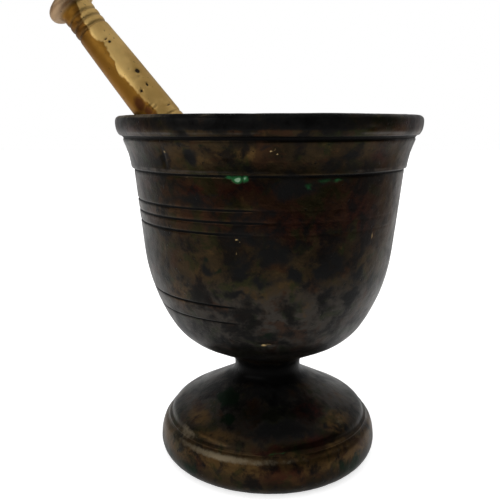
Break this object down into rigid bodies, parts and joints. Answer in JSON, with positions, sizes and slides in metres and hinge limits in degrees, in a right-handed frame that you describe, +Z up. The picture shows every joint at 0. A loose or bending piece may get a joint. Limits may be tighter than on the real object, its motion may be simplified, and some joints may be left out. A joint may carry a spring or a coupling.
{
  "type": "mortar and pestle",
  "caption": "Footed bronze mortar with a rolled lip, waisted stem and ringed bowl, and a turned brass pestle with a knob leaning in it.",
  "frame": {"origin": "centre of the ring that the mortar stands on, on the mortar's axis", "axes": "+Z up the mortar's axis, -X the way the pestle leans, +X to the right of it as seen from the front, -Y the front"},
  "size_m": [0.1365, 0.11, 0.1765],
  "materials": {
    "bronze": "dark brown patina, waxed, satin",
    "brass": "hand-polished, tarnished amber on one side, pitted"
  },
  "bodies": {
    "mortar": {"mortar": "bronze"},
    "pestle": {"pestle": "brass"}
  },
  "joints": [
    {"name": "pestle_lift", "type": "slide", "parent": "mortar", "child": "pestle", "axis": [0, 0, 1], "range_m": [0, 0.095]}
  ]
}
